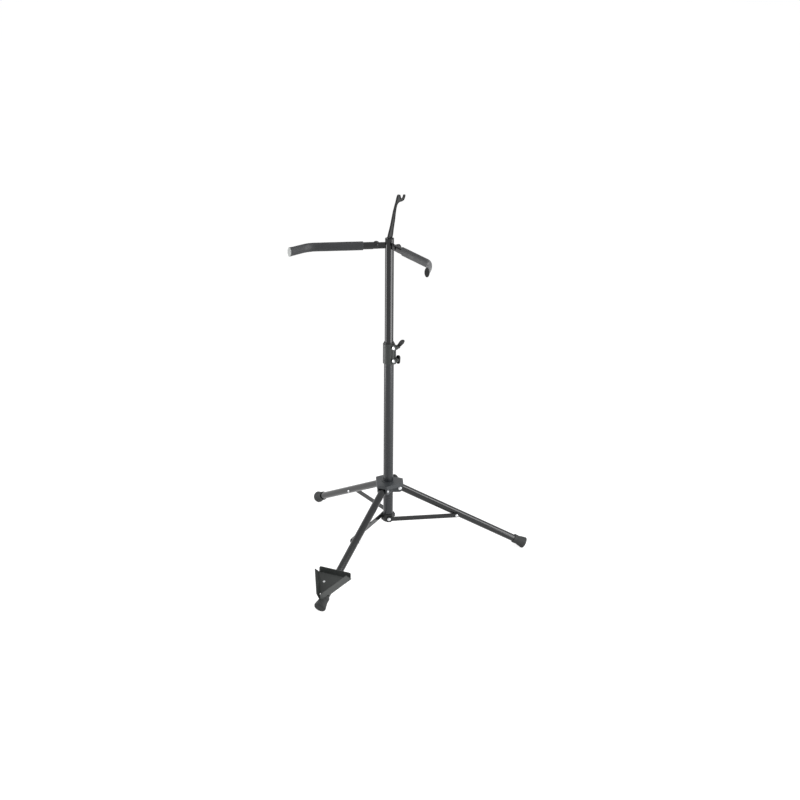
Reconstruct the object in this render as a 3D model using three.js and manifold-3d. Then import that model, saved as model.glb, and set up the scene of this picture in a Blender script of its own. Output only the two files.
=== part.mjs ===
// Folding cello stand: a sliding-hub tripod, a two-part column, two padded arms, a bow hook and an endpin tray.
// Millimetres, +Z up. The floor is z = 0, the column stands on the Z axis and the front leg points to -Y.

import * as THREE from 'three';
import { mergeVertices } from 'three/addons/utils/BufferGeometryUtils.js';
import Module from 'manifold-3d';

const wasm = await Module();
wasm.setup();

// Clearance and cuts
const gap = 0.3;                 // between pieces that touch, slide or turn in one another
const overrun = 2;               // how far a cut runs past what it cuts
const bite = 0.2;                // how far joined shapes of one piece reach into each other

// Column
const columnTop = 830;           // top end of the upper tube
const lowerTubeRadius = 12.5;
const lowerTubeWall = 1.2;
const upperTubeWall = 1.2;
const upperTubeBottom = 380;     // the upper tube's hidden end inside the lower tube
const columnSides = 32;

// Height collar
const collarBottom = 512.5;
const collarHeight = 56;
const collarSocket = 28;         // depth of the seat round the lower tube
const collarRadius = 15.2;
const collarChamfer = 1.2;
const clampSplit = 1.8;          // slot between the two clamping flanges
const clampFlange = 4;           // thickness of a flange
const clampReach = 19.4;         // from the column's axis to the flanges' edge between the bolts
const clampLugRadius = 6.2;      // round ends of the flanges at the bolts
const clampTurn = -15;           // degrees from +X to the flanges
const bushRadius = 13.2;         // rim of the bush on top of the collar
const bushRim = 3.6;
const bushSkirt = 8;
const bushWall = 1.2;

// Clamp bolts, the lever on the upper one and the thumb nut on the lower one
const boltReach = 20.6;          // from the column's axis
const boltRadius = 2.5;
const boltHeadRadius = 4.9;
const boltHeadHeight = 2.2;
const nutRadius = 5.2;
const nutLength = 8;
const upperBoltRise = 45;        // above the collar's bottom edge
const lowerBoltRise = 11.4;
const leverReach = 25.5;          // from the bolt's axis to the tip
const leverHalfWidth = 6;
const leverThickness = 3.2;
const leverFlare = 14;           // degrees away from the collar
const leverTurn = 38;            // degrees from upright
const thumbReach = 11;
const thumbHalfWidth = 5.8;
const thumbTurn = 4;

// Hub lock
const screwRadius = 3;
const screwSides = 14;
const lockKnobRadius = 9.5;
const lockKnobLength = 9;
const lockKnobEdge = 2;

// Hub
const hubRise = 16;              // top of the hub above the legs' pivots
const hubPlate = 5.4;            // thickness of the top plate
const hubLip = 8.2;              // the plate's depth at the outer end of a slot
const hubLipThickness = 1.5;
const hubRim = 10;               // height of the six-sided rim
const hubReach = 37.8;           // from the column's axis to the short sides over the legs
const hubHalfWidth = 13.4;       // half of a short side
const hubCorner = 2.5;
const hubStep = 0.4;             // the walls beside a leg stand back from the rim
const hubBossWall = 3.6;
const hubCrown = 1;            // raised ring round the column
const earRadius = 10.5;          // round lower corners of the walls beside the legs
const hubScrewDrop = 6.5;        // lock screw below the hub's top
const lockBossRadius = 6;

// Legs
const legRadius = 9.25;
const legWall = 1.2;
const legSides = 20;
const legPivotReach = 29.5;
const legPivotHeight = 178;
const legTail = 4;               // tube inwards of the pivot
const frontReach = 378;          // where each leg's axis ends
const rightReach = 356.5;
const leftReach = 355;
const legAngles = { front: -88.7, right: 29.4, left: 150 };   // degrees from +X

// Feet
const footTipRadius = 15;
const footNeckRadius = 11.6;
const footNeckLength = 8;        // plain ring at the foot's mouth
const footNeckStep = 0.7;
const footLength = 33.5;
const footEdge = 4.2;
const footBase = 3;              // rubber under the end of the tube
const footWear = 0.8;            // depth of the flat worn where the foot meets the floor
const footSides = 24;
const edgeShare = 0.3;           // where the middle of a rounded edge lies

// Braces
const braceHeight = 11;
const braceThickness = 3;
const bracePivotReach = 1.5;     // foot of a brace, beside the column's axis
const bracePivotHeight = 94;
const braceFootOffset = 18;      // middle of the bar from the leg's plane, at the column
const braceStandOff = 1.8;       // between the side of the leg and the bar
const frontJointReach = 182;     // where brace and leg are riveted together
const rightJointReach = 176;
const leftJointReach = 178;
const braceJointDrop = 3.6;      // below the leg's axis

// Lower bracket and base plug
const bracketHeight = 20;
const tubeFootRise = 1;          // lower tube's end above the bracket's lower edge
const bracketWall = 1.2;
const plugFlange = 2;
const plugDepth = 12;

// Rivets and bolts
const rivetRadius = 3;
const rivetHeadRadius = 4.4;
const jointRivetRadius = 2.4;    // where brace and leg meet
const jointHeadRadius = 3.6;
const rivetHeadHeight = 1.8;
const smallRivetRadius = 1.6;
const smallRivetHeadRadius = 3;
const smallRivetHeadHeight = 1.2;
const rivetSides = 14;
const domeShare = 0.6;           // flat top of a domed head

// Endpin tray
const trayFootGap = 1.4;         // from the tray's far edge to the mouth of the foot
const trayHalfWidth = 45;
const trayLength = 61;
const trayTaper = 28.3;          // degrees between a side wall and the leg
const traySheet = 1.5;
const trayWallHeight = 28.5;
const trayWallLength = 94;
const trayWallSplay = 8.9;       // degrees
const trayWallCut = 13;          // how far the walls' rear ends slope forwards
const trayWallNose = 3;          // the same at their far ends
const trayLipHeight = 15.4;
const trayLipHalfWidth = 42.7;
const trayLipLean = 28.7;        // degrees
const trayLipCorner = 5;
const saddleStart = 14;          // in front of the tray's rear edge
const saddleLength = 24;
const saddleHalfWidth = 22;
const trayRivetSide = 17.5;

// Arms
const armDrop = 15.5;            // arms below the top of the column
const armSpread = 56;            // degrees from the front to each arm
const armHalfHeight = 9.1;       // the arm is a flat oval tube on edge
const armHalfWidth = 3.6;
const armWall = 1.2;
const armForkStart = 27;         // inner end of the moving arm
const armPivotReach = 31.5;
const armBoreStart = 44;
const armSides = 20;
const armRun = 178;              // from the column's axis to the bend
const armBend = 50;              // radius of the bend
const armBendAngle = 38;         // degrees
const armTail = 42.8;            // straight length after the bend
const bendSteps = 8;
const lugHeight = 15.4;
const lugThickness = 3;
const armBoltRadius = 2.4;
const armBoltHeadRadius = 4.4;
const armBoltHeadHeight = 2.2;
const knobRadius = 9;
const knobLength = 9;
const knobDome = 3;
const knobDomeShare = 0.72;

// Arm sleeves and end caps
const sleeveStart = 64;
const sleeveThickness = 1.6;
const capThickness = 2.4;
const capEdge = 0.8;             // bevel round a cap
const capSpigot = 4;
const capLip = 0.6;

// Bow holder
const holderReach = 80;          // from the column's axis back to the hook's finger
const holderHeight = 97.5;
const holderThickness = 4.6;
const holderFlange = 1.5;
const holderSpigot = 24;
const holderShares = [
  [-0.12, 0], [-0.08, 0.08], [0.053, 0.253], [0.156, 0.432], [0.254, 0.613], [0.37, 0.765],
  [0.41, 0.81], [0.455, 0.873], [0.488, 0.93], [0.534, 0.979], [0.59, 0.995], [0.64, 0.985],
  [0.675, 0.95], [0.69, 0.907], [0.731, 0.868], [0.8, 0.848], [0.875, 0.86], [0.922, 0.889],
  [0.943, 0.915], [0.975, 0.935], [1, 0.915], [0.99, 0.874], [0.94, 0.819], [0.85, 0.79],
  [0.75, 0.793], [0.62, 0.803], [0.504, 0.791], [0.425, 0.731], [0.36, 0.594], [0.31, 0.404],
  [0.234, 0.219], [0.17, 0.031], [0.156, 0],
];

// Finishes
const finishes = {
  blackSteel: { color: 0x1b1d1e, roughness: 0.32, metalness: 0.25 },
  hubPlastic: { color: 0x2e3133, roughness: 0.55, metalness: 0 },
  collarPlastic: { color: 0x242826, roughness: 0.5, metalness: 0 },
  blackPlastic: { color: 0x17191a, roughness: 0.45, metalness: 0 },
  foamSleeve: { color: 0x2c2f31, roughness: 0.85, metalness: 0 },
  footRubber: { color: 0x2b2c2c, roughness: 0.8, metalness: 0 },
  zincSteel: { color: 0xc9cacb, roughness: 0.3, metalness: 0.9 },
  traySteel: { color: 0x303433, roughness: 0.5, metalness: 0.2 },
  paleCap: { color: 0xb9bbba, roughness: 0.5, metalness: 0 },
};

// Sizes that follow from others
const hubTop = legPivotHeight + hubRise;
const bracketLow = bracePivotHeight - bracketHeight / 2;
const columnBase = bracketLow + tubeFootRise;
const armHeight = columnTop - armDrop;
const footReaches = { front: frontReach, right: rightReach, left: leftReach };
const jointReaches = { front: frontJointReach, right: rightJointReach, left: leftJointReach };
const braceHeadOffset = legRadius + braceStandOff + braceThickness / 2;
const root = new THREE.Group();
const radians = THREE.MathUtils.degToRad;

// Solids and meshes
function solid(geometry) {
  const bare = geometry.clone();
  bare.deleteAttribute('normal');
  bare.deleteAttribute('uv');
  const merged = mergeVertices(bare);
  return new wasm.Manifold(new wasm.Mesh({
    numProp: 3,
    vertProperties: new Float32Array(merged.attributes.position.array),
    triVerts: new Uint32Array(merged.index.array),
  }));
}

function geometryOf(body) {
  const mesh = body.getMesh();
  const geometry = new THREE.BufferGeometry();
  geometry.setAttribute('position', new THREE.BufferAttribute(new Float32Array(mesh.vertProperties), 3));
  geometry.setIndex(new THREE.BufferAttribute(new Uint32Array(mesh.triVerts), 1));
  geometry.computeVertexNormals();
  return geometry;
}

function joined(...bodies) {
  return bodies.reduce((sum, body) => sum.add(body));
}

function addMesh(parent, name, geometry, finish) {
  const mesh = new THREE.Mesh(geometry, new THREE.MeshStandardMaterial({ ...finishes[finish] }));
  mesh.name = name;
  parent.add(mesh);
  return mesh;
}

// A turned shape about Z from [radius, height] points
function turned(profile, sides) {
  const points = profile.map(([radius, height]) => new THREE.Vector2(radius, height));
  const geometry = new THREE.LatheGeometry(points, sides);
  geometry.rotateX(Math.PI / 2);
  return geometry;
}

function ring(outer, inner, bottom, top, sides) {
  return turned([[inner, bottom], [outer, bottom], [outer, top], [inner, top], [inner, bottom]], sides);
}

// A solid round bar along X, Y or Z
function bar(radius, from, to, sides, axis = 'z') {
  const geometry = turned([[0, from], [radius, from], [radius, to], [0, to]], sides);
  if (axis === 'x') geometry.rotateY(Math.PI / 2);
  if (axis === 'y') geometry.rotateX(-Math.PI / 2);
  return geometry;
}

// A rivet or bolt along Y, with a domed head beyond each end that has one
function rivet(radius, from, to, heads) {
  const profile = [[0, from], [radius, from], [radius, to], [0, to]];
  if (heads.end) {
    const shoulder = heads.radius * domeShare;
    profile.splice(2, 2, [radius, to], [heads.radius, to], [heads.radius, to + heads.height / 2],
      [shoulder, to + heads.height], [0, to + heads.height]);
  }
  if (heads.start) {
    const shoulder = heads.radius * domeShare;
    profile.splice(0, 2, [0, from - heads.height], [shoulder, from - heads.height],
      [heads.radius, from - heads.height / 2], [heads.radius, from], [radius, from]);
  }
  const geometry = turned(profile, rivetSides);
  geometry.rotateX(-Math.PI / 2);
  return geometry;
}

function outline(points) {
  return new THREE.Shape(points.map(([x, y]) => new THREE.Vector2(x, y)));
}

function plate(shape, thickness, curveSteps = 5) {
  return new THREE.ExtrudeGeometry(shape, { depth: thickness, bevelEnabled: false, curveSegments: curveSteps });
}

// A box between two corners
function block(low, high) {
  const size = high.map((value, i) => value - low[i]);
  const geometry = new THREE.BoxGeometry(...size);
  geometry.translate(...low.map((value, i) => value + size[i] / 2));
  return geometry;
}

// Upper tube, lower tube and the plug in its foot
const upperTubeRadius = lowerTubeRadius - lowerTubeWall - gap;
const collarSeat = collarBottom + collarSocket;

function addColumn() {
  const lower = ring(lowerTubeRadius, lowerTubeRadius - lowerTubeWall, columnBase, collarSeat, columnSides);
  addMesh(root, 'lower_tube', lower, 'blackSteel');
  const upper = ring(upperTubeRadius, upperTubeRadius - upperTubeWall, upperTubeBottom, columnTop, columnSides);
  addMesh(root, 'upper_tube', upper, 'blackSteel');
  const plugRadius = lowerTubeRadius - lowerTubeWall - gap;
  const plugTop = columnBase + plugDepth;
  const plug = turned([
    [0, columnBase - plugFlange], [lowerTubeRadius - plugFlange / 2, columnBase - plugFlange],
    [lowerTubeRadius, columnBase - plugFlange / 2], [lowerTubeRadius, columnBase],
    [plugRadius, columnBase], [plugRadius, plugTop], [0, plugTop],
  ], columnSides);
  addMesh(root, 'base_plug', plug, 'blackPlastic');
}

// Height collar: a sleeve split down one side, with a flange on each side of the split and a bush on top
const boltHeights = {
  upper: collarBottom + upperBoltRise,
  lower: collarBottom + lowerBoltRise,
};
const clampHalf = clampSplit / 2 + clampFlange;

function clampGroup() {
  const group = new THREE.Group();
  group.rotation.z = radians(clampTurn);
  root.add(group);
  return group;
}

function addCollar() {
  const low = collarBottom;
  const high = collarBottom + collarHeight - bushRim;
  const seatRadius = lowerTubeRadius + gap;
  const boreRadius = upperTubeRadius + gap;
  const skirtRadius = boreRadius + bushWall;
  const skirtLow = high - bushSkirt;
  const pocket = skirtRadius + gap;
  let body = solid(turned([
    [seatRadius, low], [collarRadius - collarChamfer, low], [collarRadius, low + collarChamfer],
    [collarRadius, high - collarChamfer], [collarRadius - collarChamfer, high], [pocket, high],
    [pocket, skirtLow - gap], [boreRadius, skirtLow - gap], [boreRadius, collarSeat + gap],
    [seatRadius, collarSeat + gap], [seatRadius, low],
  ], columnSides));
  const flange = block([seatRadius + gap, -clampHalf, low + collarChamfer],
    [clampReach, clampHalf, high - collarChamfer]);
  body = body.add(solid(flange));
  for (const height of Object.values(boltHeights)) {
    const lug = bar(clampLugRadius, -clampHalf, clampHalf, columnSides, 'y');
    lug.translate(boltReach, 0, height);
    body = body.add(solid(lug));
  }
  const bores = joined(
    solid(bar(seatRadius, low - overrun, collarSeat + gap, columnSides)),
    solid(bar(boreRadius, low, high, columnSides)),
    solid(bar(pocket, skirtLow - gap, high + overrun, columnSides)),
  );
  const far = boltReach + clampLugRadius + overrun;
  const slot = block([0, -clampSplit / 2, low - overrun], [far, clampSplit / 2, high + overrun]);
  body = body.subtract(bores).subtract(solid(slot));
  for (const height of Object.values(boltHeights)) {
    const hole = bar(boltRadius + gap, -clampHalf - overrun, clampHalf + overrun, screwSides, 'y');
    hole.translate(boltReach, 0, height);
    body = body.subtract(solid(hole));
  }
  const group = clampGroup();
  addMesh(group, 'height_collar', geometryOf(body), 'collarPlastic');

  const bush = turned([
    [boreRadius, skirtLow], [skirtRadius, skirtLow], [skirtRadius, high], [bushRadius, high],
    [bushRadius, high + bushRim / 2], [bushRadius - bushRim / 4, high + bushRim], [boreRadius, high + bushRim],
    [boreRadius, skirtLow],
  ], columnSides);
  addMesh(root, 'collar_bush', bush, 'blackPlastic');
}

// Clamp bolts: heads on the front flange, nuts behind the other. The upper nut is a lever, the lower a thumb nut.
const leverShares = [
  [0, -0.62], [0.3, -0.78], [0.62, -1], [0.86, -0.8], [0.98, -0.3], [1, 0.1],
  [0.93, 0.55], [0.7, 0.86], [0.35, 0.8], [0, 0.62],
];
const thumbShares = [
  [1, 0.35], [0.9, 0.72], [0.68, 0.95], [0.36, 1],
];

function clampNut(blade, turn) {
  const start = clampHalf + gap;
  const nut = bar(nutRadius, start, start + nutLength, columnSides, 'y');
  let body = solid(nut).add(blade.rotate([0, turn, 0]));
  const hole = bar(boltRadius + gap, start - overrun, start + nutLength - overrun, screwSides, 'y');
  body = body.subtract(solid(hole));
  return geometryOf(body);
}

function addClampBolts() {
  const group = clampGroup();
  for (const [name, height] of Object.entries(boltHeights)) {
    const bolt = rivet(boltRadius, -clampHalf - gap, clampHalf + nutLength - overrun - gap,
      { radius: boltHeadRadius, height: boltHeadHeight, start: true });
    bolt.translate(boltReach, 0, height);
    addMesh(group, `${name}_clamp_bolt`, bolt, 'zincSteel');
  }
  const bladeFoot = clampHalf + gap + nutLength / 2;
  const leaf = plate(outline(leverShares.map(([out, side]) => [side * leverHalfWidth, out * leverReach])),
    leverThickness);
  leaf.rotateX(Math.PI / 2);
  leaf.translate(0, leverThickness / 2, 0);
  const lever = solid(leaf).rotate([-leverFlare, 0, 0]).translate([0, bladeFoot, 0]);
  const leverPiece = clampNut(lever, leverTurn);
  leverPiece.translate(boltReach, 0, boltHeights.upper);
  addMesh(group, 'upper_clamp_lever', leverPiece, 'blackPlastic');

  const half = thumbShares.map(([out, side]) => [side * thumbHalfWidth, out * thumbReach]);
  const right = [...half, ...[...half].reverse().map(([side, out]) => [side, -out])];
  const left = [...right].reverse().map(([side, out]) => [-side, out]);
  const ears = plate(outline([...right, ...left]), leverThickness);
  ears.rotateX(Math.PI / 2);
  ears.translate(0, clampHalf + gap + nutLength, 0);
  const thumbPiece = clampNut(solid(ears), thumbTurn);
  thumbPiece.translate(boltReach, 0, boltHeights.lower);
  addMesh(group, 'lower_thumb_nut', thumbPiece, 'blackPlastic');
}

// Hub: a three-sided moulding with a slot for each leg, sliding on the lower tube
const slotHalf = legRadius + gap;
const hubSideDistance = hubReach * Math.cos(Math.PI / 3) + hubHalfWidth * Math.sin(Math.PI / 3);
const hubScrewHeight = hubTop - hubScrewDrop;

function addHub() {
  const corners = [];
  for (const angle of Object.values(legAngles)) {
    for (const side of [-1, 1]) {
      const point = new THREE.Vector2(hubReach, side * hubHalfWidth);
      corners.push(point.rotateAround(new THREE.Vector2(), radians(angle)));
    }
  }
  const shape = new THREE.Shape();
  corners.forEach((corner, i) => {
    const last = corners[(i + corners.length - 1) % corners.length];
    const next = corners[(i + 1) % corners.length];
    const before = corner.clone().add(last.clone().sub(corner).setLength(hubCorner));
    const after = corner.clone().add(next.clone().sub(corner).setLength(hubCorner));
    if (i === 0) shape.moveTo(before.x, before.y);
    else shape.lineTo(before.x, before.y);
    shape.quadraticCurveTo(corner.x, corner.y, after.x, after.y);
  });
  const rimLow = hubTop - hubRim;
  const earLow = legPivotHeight - earRadius;
  const coreRadius = lowerTubeRadius + gap + hubBossWall;
  const wallReach = hubReach - hubStep;
  const wallHalf = hubHalfWidth - hubStep;
  const rim = plate(shape, hubRim, 3);
  rim.translate(0, 0, rimLow);
  let body = solid(rim).add(solid(bar(coreRadius, earLow, hubTop + hubCrown, columnSides)));
  for (const angle of Object.values(legAngles)) {
    const inner = block([0, -wallHalf, earLow], [wallReach - earRadius, wallHalf, rimLow + bite]);
    const outer = block([0, -wallHalf, legPivotHeight], [wallReach, wallHalf, rimLow + bite]);
    const corner = bar(earRadius, -wallHalf, wallHalf, columnSides, 'y');
    corner.translate(wallReach - earRadius, 0, legPivotHeight);
    body = body.add(joined(solid(inner), solid(outer), solid(corner)).rotate([0, 0, angle]));
  }
  const boss = bar(lockBossRadius, 0, hubSideDistance, screwSides, 'y');
  boss.translate(0, 0, hubScrewHeight);
  body = body.add(solid(boss));
  for (const angle of Object.values(legAngles)) {
    const slot = block([coreRadius - bite, -slotHalf, earLow - overrun],
      [hubReach - hubLipThickness, slotHalf, hubTop - hubPlate]);
    const mouth = block([coreRadius - bite, -slotHalf, earLow - overrun],
      [hubReach + overrun, slotHalf, hubTop - hubLip]);
    const hole = bar(rivetRadius + gap, -hubReach, hubReach, rivetSides, 'y');
    hole.translate(legPivotReach, 0, legPivotHeight);
    body = body.subtract(joined(solid(slot), solid(mouth), solid(hole)).rotate([0, 0, angle]));
  }
  const bore = bar(lowerTubeRadius + gap, earLow - overrun, hubTop + hubCrown + overrun, columnSides);
  body = body.subtract(solid(bore));
  const screwHole = bar(screwRadius + gap, 0, hubSideDistance + overrun, screwSides, 'y');
  screwHole.translate(0, 0, hubScrewHeight);
  body = body.subtract(solid(screwHole));
  addMesh(root, 'hub', geometryOf(body), 'hubPlastic');

  const start = hubSideDistance + gap;
  const end = start + lockKnobLength;
  const lock = turned([
    [0, lowerTubeRadius + gap], [screwRadius, lowerTubeRadius + gap], [screwRadius, start],
    [lockKnobRadius - lockKnobEdge, start], [lockKnobRadius, start + lockKnobEdge],
    [lockKnobRadius, end - lockKnobEdge], [lockKnobRadius - lockKnobEdge, end], [0, end],
  ], columnSides);
  lock.rotateX(-Math.PI / 2);
  lock.translate(0, 0, hubScrewHeight);
  addMesh(root, 'hub_lock_screw', lock, 'blackPlastic');
}

// Legs: each in a frame with X down the leg, Y across it and Z square to it, its origin at the hub rivet
const slopeRounds = 8;

function tipRise(slope) {
  return (footTipRadius - footEdge) * Math.cos(slope) - footEdge * Math.sin(slope) + footEdge - footWear;
}

function legSlope(footReach) {
  let slope = Math.atan2(legPivotHeight, footReach - legPivotReach);
  for (let i = 0; i < slopeRounds; i += 1) {
    slope = Math.atan2(legPivotHeight - tipRise(slope), footReach - legPivotReach);
  }
  return slope;
}

function legPlace(name) {
  const footReach = footReaches[name];
  const slope = legSlope(footReach);
  const length = (footReach - legPivotReach) / Math.cos(slope);
  const across = jointReaches[name] - legPivotReach;
  const down = across * Math.tan(slope) + braceJointDrop;
  const joint = {
    along: across * Math.cos(slope) + down * Math.sin(slope),
    up: across * Math.sin(slope) - down * Math.cos(slope),
    height: legPivotHeight - down,
  };
  return { footReach, slope, length, joint };
}

function legGroup(name) {
  const turn = new THREE.Group();
  turn.rotation.z = radians(legAngles[name]);
  const tilt = new THREE.Group();
  tilt.position.set(legPivotReach, 0, legPivotHeight);
  tilt.rotation.y = legPlace(name).slope;
  turn.add(tilt);
  root.add(turn);
  return tilt;
}

function addLeg(name) {
  const { footReach, slope, length, joint } = legPlace(name);
  const group = legGroup(name);
  const tubeEnd = length - footBase - gap;
  const tube = turned([
    [legRadius - legWall, -legTail], [legRadius, -legTail], [legRadius, tubeEnd],
    [legRadius - legWall, tubeEnd], [legRadius - legWall, -legTail],
  ], legSides);
  tube.rotateY(Math.PI / 2);
  let body = solid(tube);
  body = body.subtract(solid(bar(rivetRadius + gap, -legRadius - overrun, legRadius + overrun, rivetSides, 'y')));
  const hole = bar(jointRivetRadius + gap, -legRadius - overrun, legRadius + overrun, rivetSides, 'y');
  hole.translate(joint.along, 0, joint.up);
  body = body.subtract(solid(hole));
  addMesh(group, `${name}_leg`, geometryOf(body), 'blackSteel');

  const pivot = rivet(rivetRadius, hubStep - hubHalfWidth - gap, hubHalfWidth - hubStep + gap,
    { radius: rivetHeadRadius, height: rivetHeadHeight, start: true, end: true });
  addMesh(group, `${name}_hub_rivet`, pivot, 'zincSteel');

  const stub = rivet(jointRivetRadius, -legRadius, legRadius + gap,
    { radius: jointHeadRadius, height: rivetHeadHeight, end: true });
  stub.translate(joint.along, 0, joint.up);
  addMesh(group, `${name}_leg_rivet`, stub, 'zincSteel');

  const bore = legRadius + gap;
  const mouth = length - footLength;
  const boot = turned([
    [0, tubeEnd + gap], [bore, tubeEnd + gap], [bore, mouth], [footNeckRadius, mouth],
    [footNeckRadius, mouth + footNeckLength], [footNeckRadius - footNeckStep, mouth + footNeckLength + footNeckStep],
    [footTipRadius, length - footEdge],
    [footTipRadius - footEdge * edgeShare, length - footEdge * edgeShare], [footTipRadius - footEdge, length],
    [0, length],
  ], footSides);
  boot.rotateY(Math.PI / 2);
  const floorCut = block([-footReach * 2, -footReach * 2, -footReach], [footReach * 2, footReach * 2, 0]);
  const placed = solid(boot)
    .rotate([0, THREE.MathUtils.radToDeg(slope), 0])
    .translate([legPivotReach, 0, legPivotHeight])
    .subtract(solid(floorCut))
    .translate([-legPivotReach, 0, -legPivotHeight])
    .rotate([0, -THREE.MathUtils.radToDeg(slope), 0]);
  addMesh(group, `${name}_foot`, geometryOf(placed), 'footRubber');
  return group;
}

// Lower bracket: a ring round the foot of the column with a flat pad for each brace
const padDistance = braceFootOffset - braceThickness / 2 - 2 * gap;

function addBracket() {
  const bore = lowerTubeRadius + gap;
  let body = solid(bar(bore + bracketWall, bracketLow, bracketLow + bracketHeight, columnSides));
  for (const angle of Object.values(legAngles)) {
    const pad = block([bracePivotReach - braceHeight / 2, -padDistance, bracketLow],
      [bracePivotReach + braceHeight / 2, 0, bracketLow + bracketHeight]);
    body = body.add(solid(pad).rotate([0, 0, angle]));
  }
  for (const angle of Object.values(legAngles)) {
    const hole = bar(rivetRadius + gap, -padDistance - overrun, 0, rivetSides, 'y');
    hole.translate(bracePivotReach, 0, bracePivotHeight);
    body = body.subtract(solid(hole).rotate([0, 0, angle]));
  }
  body = body.subtract(solid(bar(bore, bracketLow - overrun, bracketLow + bracketHeight + overrun, columnSides)));
  addMesh(root, 'lower_bracket', geometryOf(body), 'blackPlastic');
}

// Braces: flat bars from the lower bracket to the legs, on the same side of every leg
function addBrace(name) {
  const turn = new THREE.Group();
  turn.rotation.z = radians(legAngles[name]);
  root.add(turn);
  const across = jointReaches[name] - bracePivotReach;
  const jointHeight = legPlace(name).joint.height;
  const rise = jointHeight - bracePivotHeight;
  const level = Math.hypot(across, braceFootOffset - braceHeadOffset);
  const length = Math.hypot(level, rise);
  const radius = braceHeight / 2;
  const shape = new THREE.Shape();
  shape.absarc(0, 0, radius, Math.PI / 2, Math.PI * 1.5, false);
  shape.absarc(length, 0, radius, -Math.PI / 2, Math.PI / 2, false);
  for (const [end, pin] of [[0, rivetRadius], [length, jointRivetRadius]]) {
    const hole = new THREE.Path();
    hole.absarc(end, 0, pin + gap, 0, Math.PI * 2, true);
    shape.holes.push(hole);
  }
  const strap = plate(shape, braceThickness, 8);
  strap.rotateX(Math.PI / 2);
  strap.translate(0, braceThickness / 2, 0);
  const plan = new THREE.Group();
  plan.position.set(bracePivotReach, -braceFootOffset, bracePivotHeight);
  plan.rotation.z = Math.atan2(braceFootOffset - braceHeadOffset, across);
  const tilt = new THREE.Group();
  tilt.rotation.y = -Math.atan2(rise, level);
  plan.add(tilt);
  turn.add(plan);
  addMesh(tilt, `${name}_brace`, strap, 'blackSteel');

  const bolt = rivet(rivetRadius, -braceFootOffset - braceThickness / 2 - 2 * gap, -lowerTubeRadius - gap,
    { radius: rivetHeadRadius, height: rivetHeadHeight, start: true });
  bolt.translate(bracePivotReach, 0, bracePivotHeight);
  addMesh(turn, `${name}_brace_bolt`, bolt, 'zincSteel');

  const head = rivet(jointRivetRadius, -braceHeadOffset - braceThickness / 2 - 2 * gap, -legRadius - gap,
    { radius: jointHeadRadius, height: rivetHeadHeight, start: true });
  head.translate(jointReaches[name], 0, jointHeight);
  addMesh(turn, `${name}_brace_rivet`, head, 'zincSteel');
}

// Endpin tray on the front leg: a three-sided sheet dish, its saddle under the leg and their rivets
const trayFloor = legRadius + gap;
const trayNoseRise = footTipRadius + gap - trayFloor;    // the walls' lower edge over the foot
const trayFloorRun = trayLength / Math.cos(radians(trayTaper));

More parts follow.
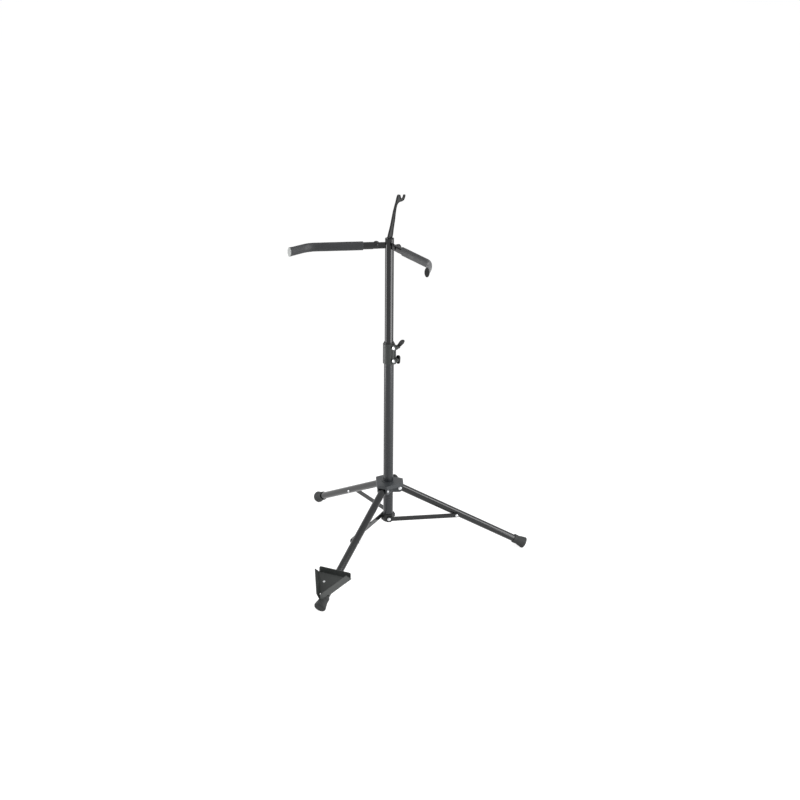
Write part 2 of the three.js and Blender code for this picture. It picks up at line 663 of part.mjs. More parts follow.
function addTray(group) {
  const trayStart = legPlace('front').length - footLength - trayFootGap - trayLength;
  const place = new THREE.Matrix4().makeTranslation(trayStart, 0, trayFloor);
  const slant = Math.tan(radians(trayTaper));
  const farHalf = trayHalfWidth - trayLength * slant;
  const base = plate(outline([
    [0, -trayHalfWidth], [trayLength, -farHalf], [trayLength, farHalf], [0, trayHalfWidth],
  ]), traySheet);
  let body = solid(base);
  for (const side of [-1, 1]) {
    const wall = plate(outline([
      [0, 0], [trayWallCut, trayWallHeight], [trayWallLength - trayWallNose, trayWallHeight],
      [trayWallLength, trayNoseRise], [trayFloorRun, trayNoseRise], [trayFloorRun, 0],
    ]), traySheet);
    wall.rotateX(Math.PI / 2);
    wall.translate(0, traySheet / 2, 0);
    wall.rotateX(radians(-side * trayWallSplay));
    wall.rotateZ(radians(-side * trayTaper));
    wall.translate(0, side * (trayHalfWidth - traySheet / 2), 0);
    body = body.add(solid(wall));
  }
  const lipShape = new THREE.Shape();
  lipShape.moveTo(-trayLipHalfWidth, 0);
  lipShape.lineTo(trayLipHalfWidth, 0);
  lipShape.lineTo(trayLipHalfWidth, trayLipHeight - trayLipCorner);
  lipShape.quadraticCurveTo(trayLipHalfWidth, trayLipHeight, trayLipHalfWidth - trayLipCorner, trayLipHeight);
  lipShape.lineTo(-trayLipHalfWidth + trayLipCorner, trayLipHeight);
  lipShape.quadraticCurveTo(-trayLipHalfWidth, trayLipHeight, -trayLipHalfWidth, trayLipHeight - trayLipCorner);
  const lip = plate(lipShape, traySheet, 8);
  lip.rotateX(Math.PI / 2);
  lip.rotateZ(Math.PI / 2);
  lip.rotateY(radians(-trayLipLean));
  body = body.add(solid(lip));
  const rivetAlong = saddleStart + saddleLength / 2;
  const sunkLow = traySheet - (smallRivetHeadRadius - smallRivetRadius);
  for (const side of [-1, 1]) {
    const hole = turned([
      [0, -overrun], [smallRivetRadius + gap, -overrun], [smallRivetRadius + gap, sunkLow],
      [smallRivetHeadRadius + gap, traySheet], [smallRivetHeadRadius + gap, traySheet + overrun],
      [0, traySheet + overrun],
    ], rivetSides);
    hole.translate(rivetAlong, side * trayRivetSide, 0);
    body = body.subtract(solid(hole));
  }
  const tray = geometryOf(body);
  tray.applyMatrix4(place);
  addMesh(group, 'endpin_tray', tray, 'traySteel');

  const inner = legRadius + gap;
  const outer = inner + traySheet;
  const hat = new THREE.Shape();
  const flat = trayFloor - gap;
  hat.moveTo(-saddleHalfWidth, flat);
  hat.lineTo(-saddleHalfWidth, flat - traySheet);
  hat.lineTo(-outer, flat - traySheet);
  hat.absarc(0, 0, outer, Math.PI, 2 * Math.PI, false);
  hat.lineTo(outer, flat - traySheet);
  hat.lineTo(saddleHalfWidth, flat - traySheet);
  hat.lineTo(saddleHalfWidth, flat);
  hat.lineTo(inner, flat);
  hat.absarc(0, 0, inner, 0, -Math.PI, true);
  hat.lineTo(-inner, flat);
  const strap = plate(hat, saddleLength, 6);
  strap.rotateX(Math.PI / 2);
  strap.rotateZ(Math.PI / 2);
  strap.translate(trayStart + saddleStart, 0, 0);
  let saddle = solid(strap);
  for (const side of [-1, 1]) {
    const hole = bar(smallRivetRadius + gap, 0, trayFloor + overrun, rivetSides);
    hole.translate(trayStart + rivetAlong, side * trayRivetSide, 0);
    saddle = saddle.subtract(solid(hole));
  }
  addMesh(group, 'tray_saddle', geometryOf(saddle), 'blackSteel');

  const pinLow = -traySheet - 2 * gap;
  [-1, 1].forEach((side, i) => {
    const pin = turned([
      [0, pinLow - smallRivetHeadHeight], [smallRivetHeadRadius * domeShare, pinLow - smallRivetHeadHeight],
      [smallRivetHeadRadius, pinLow - smallRivetHeadHeight / 2], [smallRivetHeadRadius, pinLow],
      [smallRivetRadius, pinLow], [smallRivetRadius, sunkLow], [smallRivetHeadRadius, traySheet], [0, traySheet],
    ], rivetSides);
    pin.translate(trayStart + rivetAlong, side * trayRivetSide, trayFloor);
    addMesh(group, `tray_rivet_${i + 1}`, pin, 'zincSteel');
  });
}

// The line of an arm in its level plane, as stations along straights and bends. X runs out along the arm.
class ArmLine extends THREE.Curve {
  constructor(start, side, extra = 0) {
    super();
    this.stations = [{ x: start, y: 0, heading: 0 }];
    let x = 0;
    let y = 0;
    let heading = 0;
    const move = (distance, turn = 0) => {
      x += distance * Math.cos(heading + turn / 2);
      y += distance * Math.sin(heading + turn / 2);
      heading += turn;
      this.stations.push({ x, y: side * y, heading: side * heading });
    };
    const turn = radians(armBendAngle) / bendSteps;
    move(armRun);
    for (let i = 0; i < bendSteps; i += 1) move(2 * armBend * Math.sin(turn / 2), turn);
    move(armTail + extra);
    this.steps = this.stations.length - 1;
    this.end = this.stations[this.steps];
  }

  getPointAt(share, target = new THREE.Vector3()) {
    const { x, y } = this.stations[Math.round(share * this.steps)];
    return target.set(x, y, 0);
  }

  getTangentAt(share, target = new THREE.Vector3()) {
    const { heading } = this.stations[Math.round(share * this.steps)];
    return target.set(Math.cos(heading), Math.sin(heading), 0);
  }
}

// A flat oval, its long axis upright once it is swept along an arm
function oval(grow) {
  const shape = new THREE.Shape();
  shape.absellipse(0, 0, armHalfHeight + grow, armHalfWidth + grow, 0, Math.PI * 2, false);
  return shape;
}

function sweep(shape, line) {
  return new THREE.ExtrudeGeometry(shape, {
    steps: line.steps, extrudePath: line, bevelEnabled: false, curveSegments: armSides,
  });
}

function addArm(name) {
  const side = name === 'left' ? 1 : -1;
  const frame = new THREE.Group();
  frame.position.z = armHeight;
  frame.rotation.z = radians(-90 - side * armSpread);
  root.add(frame);

  const lugShape = new THREE.Shape();
  lugShape.moveTo(0, -lugHeight / 2);
  lugShape.lineTo(armPivotReach, -lugHeight / 2);
  lugShape.absarc(armPivotReach, 0, lugHeight / 2, -Math.PI / 2, Math.PI / 2, false);
  lugShape.lineTo(0, lugHeight / 2);
  const lugHole = new THREE.Path();
  lugHole.absarc(armPivotReach, 0, armBoltRadius + gap, 0, Math.PI * 2, true);
  lugShape.holes.push(lugHole);
  const lug = plate(lugShape, lugThickness, 8);
  lug.rotateX(Math.PI / 2);
  lug.translate(0, lugThickness / 2, 0);
  const columnCut = bar(upperTubeRadius + gap, -lugHeight, lugHeight, columnSides);
  addMesh(frame, `${name}_arm_lug`, geometryOf(solid(lug).subtract(solid(columnCut))), 'blackSteel');

  const outer = solid(sweep(oval(0), new ArmLine(armForkStart, side)));
  const bore = solid(sweep(oval(-armWall), new ArmLine(armBoreStart, side, overrun)));
  const slotEnd = armPivotReach + lugHeight / 2 + 2 * gap;
  const slot = block([armForkStart - overrun, -lugThickness / 2 - gap, -armHalfHeight - overrun],
    [slotEnd, lugThickness / 2 + gap, armHalfHeight + overrun]);
  const pinHole = bar(armBoltRadius + gap, -armHalfWidth - overrun, armHalfWidth + overrun, rivetSides, 'y');
  pinHole.translate(armPivotReach, 0, 0);
  const arm = outer.subtract(bore).subtract(solid(slot)).subtract(solid(pinHole));
  addMesh(frame, `${name}_arm`, geometryOf(arm), 'blackSteel');

  const sleeveLine = new ArmLine(sleeveStart, side);
  const sleeveShape = oval(gap + sleeveThickness);
  sleeveShape.holes.push(oval(gap));
  addMesh(frame, `${name}_sleeve`, sweep(sleeveShape, sleeveLine), 'foamSleeve');

  const face = new THREE.ExtrudeGeometry(oval(gap + sleeveThickness + capLip), {
    depth: capThickness - 2 * capEdge, bevelThickness: capEdge, bevelSize: capEdge, bevelOffset: -capEdge,
    bevelSegments: 1, curveSegments: armSides,
  });
  face.translate(0, 0, gap + capEdge);
  const spigot = plate(oval(-armWall - gap), capSpigot + gap + capEdge, armSides);
  spigot.translate(0, 0, -capSpigot);
  const cap = geometryOf(solid(face).add(solid(spigot)));
  cap.rotateY(Math.PI / 2);
  cap.rotateZ(sleeveLine.end.heading);
  cap.translate(sleeveLine.end.x, sleeveLine.end.y, 0);
  addMesh(frame, `${name}_end_cap`, cap, name === 'left' ? 'paleCap' : 'blackPlastic');

  const bolt = rivet(armBoltRadius, -armHalfWidth - gap - knobLength / 2, armHalfWidth + gap,
    { radius: armBoltHeadRadius, height: armBoltHeadHeight, end: true });
  if (side < 0) bolt.rotateZ(Math.PI);
  bolt.translate(armPivotReach, 0, 0);
  addMesh(frame, `${name}_arm_bolt`, bolt, 'blackSteel');

  const seat = armHalfWidth + gap;
  const knobBore = armBoltRadius + gap;
  const knob = turned([
    [knobBore, seat], [knobRadius, seat], [knobRadius, seat + knobLength - knobDome],
    [knobRadius * knobDomeShare, seat + knobLength - knobDome * edgeShare], [0, seat + knobLength],
    [0, seat + knobLength / 2 + gap], [knobBore, seat + knobLength / 2 + gap], [knobBore, seat],
  ], armSides);
  knob.rotateX(side > 0 ? Math.PI / 2 : -Math.PI / 2);
  knob.translate(armPivotReach, 0, 0);
  addMesh(frame, `${name}_arm_knob`, knob, 'blackPlastic');
}

// Bow holder: a leaning strip with an upward hook, its spigot in the top of the column
function addHolder() {
  const shape = outline(holderShares.map(([back, up]) => [back * holderReach, up * holderHeight]));
  const strip = plate(shape, holderThickness);
  strip.rotateX(Math.PI / 2);
  strip.rotateZ(Math.PI / 2);
  strip.translate(-holderThickness / 2, 0, columnTop + gap + holderFlange - bite);
  const spigotRadius = upperTubeRadius - upperTubeWall - gap;
  const plug = turned([
    [0, columnTop - holderSpigot], [spigotRadius, columnTop - holderSpigot], [spigotRadius, columnTop + gap],
    [upperTubeRadius, columnTop + gap], [upperTubeRadius, columnTop + gap + holderFlange],
    [0, columnTop + gap + holderFlange],
  ], columnSides);
  addMesh(root, 'bow_holder', geometryOf(joined(solid(plug), solid(strip))), 'blackPlastic');
}

addColumn();
addCollar();
addClampBolts();
addHub();
addBracket();
for (const name of Object.keys(legAngles)) {
  const group = addLeg(name);
  addBrace(name);
  if (name === 'front') addTray(group);
}
for (const name of ['left', 'right']) addArm(name);
addHolder();

// The origin is under the middle of the stand's outline on the floor
const extent = new THREE.Box3().setFromObject(root, true);
root.position.x = -(extent.min.x + extent.max.x) / 2;
root.position.y = -(extent.min.y + extent.max.y) / 2;

export default root;
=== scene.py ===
import math

import bmesh
import bpy
from mathutils import Matrix, Vector


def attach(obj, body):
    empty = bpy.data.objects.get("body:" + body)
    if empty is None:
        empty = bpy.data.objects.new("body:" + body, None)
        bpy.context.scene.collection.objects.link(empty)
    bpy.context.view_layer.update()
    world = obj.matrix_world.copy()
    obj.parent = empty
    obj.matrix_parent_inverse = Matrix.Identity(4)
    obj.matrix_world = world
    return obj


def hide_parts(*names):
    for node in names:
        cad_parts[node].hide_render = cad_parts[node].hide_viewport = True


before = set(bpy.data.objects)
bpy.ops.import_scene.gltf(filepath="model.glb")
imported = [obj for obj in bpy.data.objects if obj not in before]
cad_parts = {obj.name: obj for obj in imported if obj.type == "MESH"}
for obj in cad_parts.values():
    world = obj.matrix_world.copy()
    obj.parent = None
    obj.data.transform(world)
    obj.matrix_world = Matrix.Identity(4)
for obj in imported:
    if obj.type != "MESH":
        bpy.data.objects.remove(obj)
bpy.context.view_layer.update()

mm = 0.001
tiny = 1e-7                      # a length below this counts as nothing


# The point of the floor under the column's axis, from its lower tube
def findColumnFoot():
    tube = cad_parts["lower_tube"]
    corners = [tube.matrix_world @ Vector(corner) for corner in tube.bound_box]
    middle = sum(corners, Vector()) / len(corners)
    return Vector((middle.x, middle.y, 0))


columnFoot = findColumnFoot()


# One output of a shader node. Arithmetic on it adds Math nodes, and colours are mixed by mix().
class Output:
    def __init__(self, shader, socket):
        self.shader = shader
        self.socket = socket

    def maths(self, operation, first, second):
        return self.shader.node("ShaderNodeMath", {"operation": operation}, {0: first, 1: second}, "Value")

    def __add__(self, other):
        return self.maths("ADD", self, other)

    def __radd__(self, other):
        return self.maths("ADD", other, self)

    def __sub__(self, other):
        return self.maths("SUBTRACT", self, other)

    def __rsub__(self, other):
        return self.maths("SUBTRACT", other, self)

    def __mul__(self, other):
        return self.maths("MULTIPLY", self, other)

    def __rmul__(self, other):
        return self.maths("MULTIPLY", other, self)

    # Eased from nothing at the low value to 1 at the high one
    def between(self, low, high):
        settings = {"interpolation_type": "SMOOTHSTEP"}
        sockets = {"Value": self, "From Min": low, "From Max": high}
        return self.shader.node("ShaderNodeMapRange", settings, sockets, "Result")

    def mix(self, first, second):
        sockets = {"Factor_Float": self, "A_Color": first, "B_Color": second}
        return self.shader.node("ShaderNodeMix", {"data_type": "RGBA"}, sockets, "Result_Color")


# A node tree. node() takes a node's type, its settings, its sockets' values or links, and the wanted output.
class Shader:
    def __init__(self, tree):
        self.tree = tree

    def node(self, kind, settings, sockets, output):
        made = self.tree.nodes.new(kind)
        for name, setting in settings.items():
            setattr(made, name, setting)
        for name, item in sockets.items():
            self.feed(pick(made.inputs, name), item)
        return Output(self, pick(made.outputs, output))

    def feed(self, target, item):
        if isinstance(item, Output):
            self.tree.links.new(item.socket, target)
        elif isinstance(item, tuple):
            target.default_value = (*item, 1)
        else:
            target.default_value = item


# A socket by its number, its name or its identifier
def pick(sockets, name):
    if isinstance(name, int):
        return sockets[name]
    return next(socket for socket in sockets if name in (socket.identifier, socket.name))


# A material: its Principled surface, and textures laid out in the object's own space
class Finish(Shader):
    def __init__(self, name):
        self.material = bpy.data.materials.new(name)
        self.material.use_nodes = True
        super().__init__(self.material.node_tree)
        self.surface = self.tree.nodes["Principled BSDF"]
        self.places = self.node("ShaderNodeTexCoord", {}, {}, "Object")

    def noise(self, scale, detail=3, roughness=0.5):
        sockets = {"Vector": self.places, "Scale": scale, "Detail": detail, "Roughness": roughness}
        return self.node("ShaderNodeTexNoise", {}, sockets, "Fac")

    def cells(self, scale):
        return self.node("ShaderNodeTexVoronoi", {}, {"Vector": self.places, "Scale": scale}, "Distance")

    def bump(self, height, depth):
        sockets = {"Height": height, "Distance": depth, "Strength": 1.0}
        self.set("Normal", self.node("ShaderNodeBump", {}, sockets, "Normal"))

    def set(self, name, item):
        self.feed(self.surface.inputs[name], item)


def shade(colour, factor):
    return tuple(channel * factor for channel in colour)


def paint(thing, material):
    thing.data.materials.clear()
    thing.data.materials.append(material)


# Powder coat and mouldings: uneven tone, patchy gloss, fine handling scuffs and an orange-peel surface
coat = {
    "broad": {"scale": 18},
    "fine": {"scale": 240, "detail": 4},
    "scuffs": {"scale": 95, "detail": 6, "roughness": 0.72},
    "scuffStart": 0.6,
    "scuffFull": 0.78,
    "scuffStrength": 0.3,
    "scuffShade": 1.9,
    "darkShade": 0.86,
    "paleShade": 1.16,
    "peelDetail": 2,
}

finishes = {
    "blackSteel": {
        "tone": (0.0085, 0.0095, 0.0105), "rough": 0.13, "spread": 0.02, "specular": 0.45, "peel": 400,
        "peelDepth": 0.004 * mm,
    },
    "lowerSteel": {
        "tone": (0.016, 0.018, 0.021), "rough": 0.27, "spread": 0.03, "specular": 0.5, "peel": 400,
        "peelDepth": 0.006 * mm,
    },
    "traySteel": {
        "tone": (0.035, 0.039, 0.037), "rough": 0.46, "spread": 0.1, "specular": 0.5, "peel": 700,
        "peelDepth": 0.02 * mm,
    },
    "hubPlastic": {
        "tone": (0.034, 0.038, 0.042), "rough": 0.5, "spread": 0.1, "specular": 0.5, "peel": 500,
        "peelDepth": 0.04 * mm,
    },
    "collarPlastic": {
        "tone": (0.024, 0.028, 0.026), "rough": 0.44, "spread": 0.1, "specular": 0.5, "peel": 500,
        "peelDepth": 0.04 * mm,
    },
    "blackPlastic": {
        "tone": (0.010, 0.011, 0.011), "rough": 0.42, "spread": 0.1, "specular": 0.4, "peel": 600,
        "peelDepth": 0.03 * mm,
    },
    "footRubber": {
        "tone": (0.032, 0.034, 0.034), "rough": 0.72, "spread": 0.12, "specular": 0.4, "peel": 420,
        "peelDepth": 0.1 * mm,
    },
    # Left end cap: the same black plastic as the right cap; its pale tone is painted reflection of the bright
    # surroundings
    "paleCap": {
        "tone": (0.45, 0.47, 0.46), "rough": 0.5, "spread": 0.08, "specular": 0.5, "peel": 500,
        "peelDepth": 0.03 * mm,
    },
}


def coatedMaterial(name, tone, rough, spread, specular, peel, peelDepth):
    finish = Finish(name)
    broad = finish.noise(**coat["broad"])
    fine = finish.noise(**coat["fine"])
    scuffs = finish.noise(**coat["scuffs"]).between(coat["scuffStart"], coat["scuffFull"])
    base = broad.mix(shade(tone, coat["darkShade"]), shade(tone, coat["paleShade"]))
    finish.set("Base Color", (coat["scuffStrength"] * scuffs).mix(base, shade(tone, coat["scuffShade"])))
    finish.set("Roughness", (fine + broad + scuffs) * spread + (rough - spread))
    finish.set("Specular IOR Level", specular)
    finish.bump(finish.noise(peel, coat["peelDetail"]), peelDepth)
    return finish.material


# Foam rubber: fine cells under a thin skin, with paler rubbed patches; the cell pits are darkened with
# painted shade
foam = {
    "tone": (0.017, 0.0185, 0.021),
    "paleTone": (0.025, 0.027, 0.03),
    "pitPaintedShade": 0.6,
    "rough": 0.5,
    "patchGloss": 0.14,
    "cellRough": 0.1,
    "sheen": 0.5,
    "sheenRough": 0.35,
    "patches": {"scale": 26, "detail": 4, "roughness": 0.6},
    "patchStart": 0.42,
    "patchFull": 0.68,
    "cells": 1500,
    "pitEdge": 0.15,
    "wallEdge": 0.55,
    "lumps": {"scale": 340},
    "lumpShare": 0.6,
    "cellDepth": 0.02 * mm,
}


def foamMaterial():
    finish = Finish("foamRubber")
    patches = finish.noise(**foam["patches"]).between(foam["patchStart"], foam["patchFull"])
    cells = finish.cells(foam["cells"])
    walls = cells.between(foam["pitEdge"], foam["wallEdge"]).between(0, 1)    # eased twice, for crisp walls
    skin = patches.mix(foam["tone"], foam["paleTone"])
    # Pits between the cell walls take painted shade, a darker copy of the foam's tone
    finish.set("Base Color", walls.mix(shade(foam["tone"], foam["pitPaintedShade"]), skin))
    finish.set("Roughness", foam["rough"] - patches * foam["patchGloss"] + cells * foam["cellRough"])
    finish.set("Sheen Weight", foam["sheen"])
    finish.set("Sheen Roughness", foam["sheenRough"])
    finish.bump(cells + finish.noise(**foam["lumps"]) * foam["lumpShare"], foam["cellDepth"])
    return finish.material


# Zinc plate: bright, with a crystalline grain and duller spots
zinc = {
    "tone": (0.62, 0.63, 0.64),
    "darkTone": (0.36, 0.37, 0.38),
    "rough": 0.26,
    "grain": 800,
    "grainRough": 0.12,
    "grainDepth": 0.02 * mm,
    "spots": {"scale": 160, "detail": 5, "roughness": 0.65},
    "spotStart": 0.5,
    "spotFull": 0.75,
    "spotRough": 0.2,
    "spotDullness": 0.15,
}


def zincMaterial():
    finish = Finish("zincPlate")
    grain = finish.cells(zinc["grain"])
    spots = finish.noise(**zinc["spots"]).between(zinc["spotStart"], zinc["spotFull"])
    finish.set("Base Color", spots.mix(zinc["tone"], zinc["darkTone"]))
    finish.set("Metallic", 1 - spots * zinc["spotDullness"])
    finish.set("Roughness", grain * zinc["grainRough"] + spots * zinc["spotRough"] + zinc["rough"])
    finish.bump(grain, zinc["grainDepth"])
    return finish.material


# Meshes
edges = {
    "smoothAngle": 38,               # degrees
    "bevelWidth": 0.35 * mm,
    "bevelSegments": 2,
    "bevelAngle": 42,
}


def meshThing(name, points, faces):
    data = bpy.data.meshes.new(name)
    data.from_pydata([tuple(point) for point in points], [], faces)
    data.update()
    return placed(name, data)


def placed(name, data):
    thing = bpy.data.objects.new(name, data)
    bpy.context.scene.collection.objects.link(thing)
    return thing


def smooth(thing, angle=edges["smoothAngle"]):
    for face in thing.data.polygons:
        face.use_smooth = True
    thing.data.set_sharp_from_angle(angle=math.radians(angle))


def roundEdges(thing, width=edges["bevelWidth"], segments=edges["bevelSegments"]):
    bevel = thing.modifiers.new("roundEdges", "BEVEL")
    bevel.width = width
    bevel.segments = segments
    bevel.limit_method = "ANGLE"
    bevel.angle_limit = math.radians(edges["bevelAngle"])
    bevel.harden_normals = True


def fixNormals(thing):
    mesh = bmesh.new()
    mesh.from_mesh(thing.data)
    bmesh.ops.recalc_face_normals(mesh, faces=mesh.faces)
    mesh.to_mesh(thing.data)
    mesh.free()


# Rings of points joined into a skin, the last ring to the first
def loft(name, rings):
    count = len(rings[0])
    points = [point for ring in rings for point in ring]
    faces = []
    for row in range(len(rings)):
        over = (row + 1) % len(rings) * count
        for k in range(count):
            after = (k + 1) % count
            faces.append((row * count + k, row * count + after, over + after, over + k))
    return meshThing(name, points, faces)


# A profile of radius and height, turned about a place's own Z axis
def lathe(name, profile, matrix, sides):
    points = []
    rows = []
    for radius, height in profile:
        if radius < tiny:
            rows.append([len(points)])
            points.append(matrix @ Vector((0, 0, height)))
            continue
        rows.append(list(range(len(points), len(points) + sides)))
        for k in range(sides):
            angle = 2 * math.pi * k / sides
            points.append(matrix @ Vector((radius * math.cos(angle), radius * math.sin(angle), height)))
    faces = []
    for low, high in zip(rows, rows[1:]):
        for k in range(sides):
            after = k + 1
            corners = [low[k % len(low)], low[after % len(low)], high[after % len(high)], high[k % len(high)]]
            faces.append(tuple(dict.fromkeys(corners)))
    thing = meshThing(name, points, faces)
    fixNormals(thing)
    smooth(thing)
    return thing


# Arms: the same line as the CAD arm, in short steps. X runs out along the arm.
arm = {
    "height": 814.5 * mm,
    "spread": 56,                    # degrees from the front to each arm
    "run": 178 * mm,                 # from the column's axis to the bend
    "bendRadius": 50 * mm,
    "bendAngle": 38,
    "tail": 42.8 * mm,
}

sleeve = {
    "start": 64 * mm,
    "halfHeight": 11.0 * mm,
    "halfWidth": 5.5 * mm,
    "thickness": 1.6 * mm,
    "lip": 0.6 * mm,
    "lipLength": 9 * mm,
    "lipCurve": 1.5,
    "mouthRound": 1.0 * mm,
    "mouthShares": (0, 0.1, 0.3, 0.6, 1),
    "ringStep": 3 * mm,
    "sides": 56,
    "wave": 0.1 * mm,                # unevenness of the skin
    "waveTurns": (95, 41),
    "smoothAngle": 60,
}


def armPlace(side):
    sign = 1 if side == "left" else -1
    turn = Matrix.Rotation(math.radians(-90 - sign * arm["spread"]), 4, "Z")
    return Matrix.Translation(columnFoot + Vector((0, 0, arm["height"]))) @ turn, sign


def armStations(start, step):
    stations = []
    place = Vector((start, 0))
    heading = 0
    swing = math.radians(arm["bendAngle"])
    for length, turn in ((arm["run"] - start, 0), (arm["bendRadius"] * swing, swing), (arm["tail"], 0)):
        count = max(1, round(length / step))
        for _ in range(count):
            stations.append((place.copy(), heading))
            middle = heading + turn / count / 2
            place += Vector((math.cos(middle), math.sin(middle))) * (length / count)
            heading += turn / count
    stations.append((place.copy(), heading))
    return stations


# Place and heading at a length along the stations
def stationAt(stations, lengths, along):
    index = max(i for i, length in enumerate(lengths) if length <= along + tiny)
    index = min(index, len(stations) - 2)
    share = (along - lengths[index]) / (lengths[index + 1] - lengths[index])
    (here, headingHere), (there, headingThere) = stations[index], stations[index + 1]
    return here.lerp(there, share), headingHere + (headingThere - headingHere) * share


# How far the sleeve's skin stands outside its plain oval
def sleeveGrowth(side, along, total):
    first, second = sleeve["waveTurns"]
    fromEnd = total - along
    growth = sleeve["lip"] * max(0.0, 1 - fromEnd / sleeve["lipLength"]) ** sleeve["lipCurve"]
    growth += sleeve["wave"] * math.sin(along * first + len(side)) * math.sin(along * second)
    edge = min(along, fromEnd)
    if edge < sleeve["mouthRound"]:
        share = 1 - edge / sleeve["mouthRound"]
        growth -= sleeve["mouthRound"] * (1 - math.sqrt(max(0.0, 1 - share * share)))
    return growth


# An upright oval across the arm's line
def sleeveRing(centre, heading, growth):
    across = Vector((-math.sin(heading), math.cos(heading), 0))
    halfHeight = sleeve["halfHeight"] + growth
    halfWidth = sleeve["halfWidth"] + growth
    ring = []
    for k in range(sleeve["sides"]):
        angle = 2 * math.pi * k / sleeve["sides"]
        height = Vector((centre.x, centre.y, halfHeight * math.sin(angle)))
        ring.append(height + across * (halfWidth * math.cos(angle)))
    return ring


def makeSleeve(side, material):
    matrix, sign = armPlace(side)
    stations = armStations(sleeve["start"], sleeve["ringStep"])
    lengths = [0]
    for (here, _), (there, _) in zip(stations, stations[1:]):
        lengths.append(lengths[-1] + (there - here).length)
    total = lengths[-1]
    mouth = [sleeve["mouthRound"] * share for share in sleeve["mouthShares"]]
    marks = sorted({*lengths, *mouth, *(total - length for length in mouth)})
    outside = [(mark, sleeveGrowth(side, mark, total)) for mark in marks]
    inside = [(mark, -sleeve["thickness"]) for mark in reversed(marks)]
    rings = []
    for mark, growth in outside + inside:
        ring = sleeveRing(*stationAt(stations, lengths, mark), growth)
        rings.append([matrix @ Vector((point.x, sign * point.y, point.z)) for point in ring])
    thing = loft(f"{side}_foam_sleeve", rings)
    fixNormals(thing)
    smooth(thing, sleeve["smoothAngle"])
    paint(thing, material)
    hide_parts(f"{side}_sleeve")
    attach(thing, f"{side}_arm_set")
    return thing


# Bow holder: a strip with raised edges round a recessed web, on a round plug in the upper tube
holder = {
    "tubeTop": 830 * mm,
    "tubeRadius": 11 * mm,
    "tubeBore": 9.8 * mm,
    "reach": 80 * mm,
    "height": 97.5 * mm,
    "thickness": 4.6 * mm,
    "flange": 1.5 * mm,
    "gap": 0.3 * mm,
    "spigot": 24 * mm,
    "spigotEdge": 1 * mm,
    "rimWidth": 1.5 * mm,
    "recess": 1.1 * mm,
    "recessSlope": 0.3 * mm,
    "round": 0.5 * mm,
    "roundSegments": 3,
    "smoothAngle": 32,
    "sides": 64,
    "cornerShare": 0.25,             # how far along each side its corners are cut
    "outlineShares": [
        (-0.12, 0), (-0.08, 0.08), (0.053, 0.253), (0.156, 0.432), (0.254, 0.613), (0.37, 0.765),
        (0.41, 0.81), (0.455, 0.873), (0.488, 0.93), (0.534, 0.979), (0.59, 0.995), (0.64, 0.985),
        (0.675, 0.95), (0.69, 0.907), (0.731, 0.868), (0.8, 0.848), (0.875, 0.86), (0.922, 0.889),
        (0.943, 0.915), (0.975, 0.935), (1, 0.915), (0.99, 0.874), (0.94, 0.819), (0.85, 0.79),
        (0.75, 0.793), (0.62, 0.803), (0.504, 0.791), (0.425, 0.731), (0.36, 0.594), (0.31, 0.404),
        (0.234, 0.219), (0.17, 0.031), (0.156, 0),
    ],
}


def softened(points):
    cut = []
    for here, there in zip(points, points[1:] + points[:1]):
        cut.append(here.lerp(there, holder["cornerShare"]))
        cut.append(here.lerp(there, 1 - holder["cornerShare"]))
    return cut


def makeHook(material):
    low = holder["tubeTop"] + holder["gap"] + holder["flange"]
    half = holder["thickness"] / 2
    reach, height = holder["reach"], holder["height"]
    flat = softened([Vector((back * reach, up * height)) for back, up in holder["outlineShares"]])
    mesh = bmesh.new()
    front = [mesh.verts.new((columnFoot.x - half, columnFoot.y + p.x, low + p.y)) for p in flat]
    back = [mesh.verts.new((columnFoot.x + half, columnFoot.y + p.x, low + p.y)) for p in flat]
    sides = [mesh.faces.new(front), mesh.faces.new(list(reversed(back)))]
    for k in range(len(flat)):
        after = (k + 1) % len(flat)
        mesh.faces.new((front[after], front[k], back[k], back[after]))
    bmesh.ops.recalc_face_normals(mesh, faces=mesh.faces)
    for face in sides:
        for width, depth in ((holder["rimWidth"], 0), (holder["recessSlope"], -holder["recess"])):
            bmesh.ops.inset_region(mesh, faces=[face], thickness=width, depth=depth, use_even_offset=True)
        bmesh.ops.triangulate(mesh, faces=[face])
    data = bpy.data.meshes.new("bow_hook")
    mesh.to_mesh(data)
    mesh.free()
    thing = placed("bow_hook", data)
    smooth(thing, holder["smoothAngle"])
    roundEdges(thing, holder["round"], holder["roundSegments"])
    paint(thing, material)
    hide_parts("bow_holder")
    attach(thing, "upper_column")


def makePlug(material):
    foot = holder["tubeTop"] - holder["spigot"]
    seat = holder["tubeTop"] + holder["gap"]
    top = seat + holder["flange"]
    inner = holder["tubeBore"] - holder["gap"]
    outer = holder["tubeRadius"]
    edge = holder["spigotEdge"]
    flangeEdge = holder["flange"] / 2
    profile = [
        (0, foot), (inner - edge, foot), (inner, foot + edge), (inner, seat),
        (outer, seat), (outer, seat + flangeEdge), (outer - flangeEdge, top), (0, top),
    ]
    plug = lathe("column_plug", profile, Matrix.Translation(columnFoot), holder["sides"])
    paint(plug, material)
    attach(plug, "upper_column")


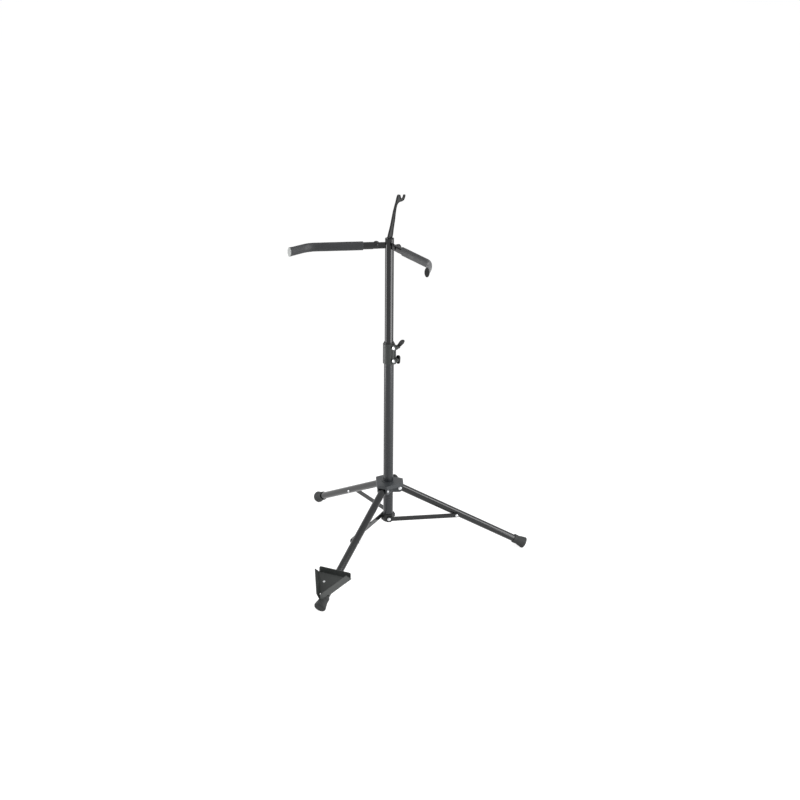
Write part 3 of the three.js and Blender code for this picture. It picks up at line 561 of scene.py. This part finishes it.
# Which finish each CAD node has. Sleeves and bow holder are made anew below.
nodeFinishes = {
    "blackSteel": [
        "upper_tube", "front_leg", "right_leg", "left_leg", "front_brace", "right_brace", "left_brace",
        "left_arm_lug", "right_arm_lug", "left_arm", "right_arm", "left_arm_bolt", "right_arm_bolt",
        "tray_saddle",
    ],
    "lowerSteel": ["lower_tube"],
    "traySteel": ["endpin_tray"],
    "hubPlastic": ["hub"],
    "collarPlastic": ["height_collar"],
    "blackPlastic": [
        "base_plug", "upper_clamp_lever", "lower_thumb_nut", "hub_lock_screw", "lower_bracket", "collar_bush",
        "left_arm_knob", "right_arm_knob", "right_end_cap",
    ],
    "footRubber": ["front_foot", "right_foot", "left_foot"],
    # The left end cap gets the pale tone of painted reflection; the right cap shows the plastic's own black
    "paleCap": ["left_end_cap"],
    "zinc": [
        "upper_clamp_bolt", "lower_clamp_bolt", "tray_rivet_1", "tray_rivet_2",
        "front_hub_rivet", "right_hub_rivet", "left_hub_rivet",
        "front_leg_rivet", "right_leg_rivet", "left_leg_rivet",
        "front_brace_bolt", "right_brace_bolt", "left_brace_bolt",
        "front_brace_rivet", "right_brace_rivet", "left_brace_rivet",
    ],
}


def dressNodes(materials):
    for finish, names in nodeFinishes.items():
        for name in names:
            paint(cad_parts[name], materials[finish])
    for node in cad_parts.values():
        smooth(node)
        roundEdges(node)


# Stage: camera, glossy and transmission rays see floor and world as a plain white background
stage = {
    "floorHalf": 12,                 # metres
    "floorTone": 0.5,
    "floorGlow": 0.83,
    "white": 1.0,
    "ambient": 0.35,
    "backgroundRays": ("Is Glossy Ray", "Is Transmission Ray", "Is Camera Ray"),
}


def grey(level):
    return (level, level, level)


def chooseByRay(shader, plain, seen):
    chosen = plain
    for ray in stage["backgroundRays"]:
        path = shader.node("ShaderNodeLightPath", {}, {}, ray)
        chosen = shader.node("ShaderNodeMixShader", {}, {0: path, 1: chosen, 2: seen}, "Shader")
    return chosen


def emptyTree(owner, outputName):
    owner.use_nodes = True
    for node in list(owner.node_tree.nodes):
        if node.name != outputName:
            owner.node_tree.nodes.remove(node)
    return Shader(owner.node_tree), owner.node_tree.nodes[outputName].inputs["Surface"]


def makeFloor():
    half = stage["floorHalf"]
    points = [(-half, -half, 0), (half, -half, 0), (half, half, 0), (-half, half, 0)]
    floor = meshThing("studio_floor", points, [(0, 1, 2, 3)])
    material = bpy.data.materials.new("studioFloor")
    shader, surface = emptyTree(material, "Material Output")
    plain = shader.node("ShaderNodeBsdfDiffuse", {}, {"Color": grey(stage["floorTone"])}, "BSDF")
    glowSockets = {"Color": grey(1), "Strength": stage["floorGlow"]}
    glow = shader.node("ShaderNodeEmission", {}, glowSockets, "Emission")
    seen = shader.node("ShaderNodeAddShader", {}, {0: plain, 1: glow}, "Shader")
    shader.feed(surface, chooseByRay(shader, plain, seen))
    paint(floor, material)


def makeWorld():
    world = bpy.data.worlds.new("studioWorld")
    bpy.context.scene.world = world
    shader, surface = emptyTree(world, "World Output")
    plain, seen = [
        shader.node("ShaderNodeBackground", {}, {"Color": grey(1), "Strength": stage[name]}, "Background")
        for name in ("ambient", "white")
    ]
    shader.feed(surface, chooseByRay(shader, plain, seen))


# Panels of light. Places are measured from the column's foot, in metres, and each panel faces the column.
lights = {
    "leftPanel": {"place": (-1.12, -0.62, 0.42), "aim": 0.42, "size": (0.64, 0.84), "radiance": 6},
    "rightPanel": {"place": (1.5, -0.1, 0.9), "aim": 0.9, "size": (0.8, 1.8), "radiance": 6},
    "topPanel": {"place": (0.7, -0.3, 2.4), "aim": 0.4, "size": (0.7, 0.7), "radiance": 3},
}


def makeLights():
    for name, values in lights.items():
        data = bpy.data.lights.new(name, "AREA")
        data.shape = "RECTANGLE"
        data.size, data.size_y = values["size"]
        data.energy = values["radiance"] * math.pi * data.size * data.size_y
        lamp = placed(name, data)
        lamp.location = columnFoot + Vector(values["place"])
        target = columnFoot + Vector((0, 0, values["aim"]))
        lamp.rotation_euler = (target - lamp.location).to_track_quat("-Z", "Y").to_euler()


# Camera, as fitted to the photograph's feet, hub and column
camera = {
    "fromColumn": (1.6568, -3.2711, 1.8263),
    "forward": (-0.4152, 0.8357, -0.3593),
    "up": (-0.1673, 0.3181, 0.9332),
    "focalPixels": 1570.4,
    "imagePixels": 800,
    "sensorMm": 36,
}


def makeCamera():
    data = bpy.data.cameras.new("photoCamera")
    data.sensor_width = camera["sensorMm"]
    data.lens = camera["focalPixels"] / camera["imagePixels"] * camera["sensorMm"]
    thing = placed("photoCamera", data)
    back = -Vector(camera["forward"]).normalized()
    right = Vector(camera["up"]).cross(back).normalized()
    up = back.cross(right)
    turn = Matrix((right, up, back)).transposed().to_4x4()
    thing.matrix_world = Matrix.Translation(columnFoot + Vector(camera["fromColumn"])) @ turn
    bpy.context.scene.camera = thing


bpy.context.scene.view_settings.view_transform = "Standard"
makeCamera()
makeWorld()
makeFloor()
makeLights()
print("stage, lights and camera made")

materials = {name: coatedMaterial(name, **values) for name, values in finishes.items()}
materials["foam"] = foamMaterial()
materials["zinc"] = zincMaterial()
dressNodes(materials)
print("nodes dressed")

for side in ("left", "right"):
    makeSleeve(side, materials["foam"])
makeHook(materials["blackPlastic"])
makePlug(materials["blackPlastic"])
print("sleeves and bow holder made")
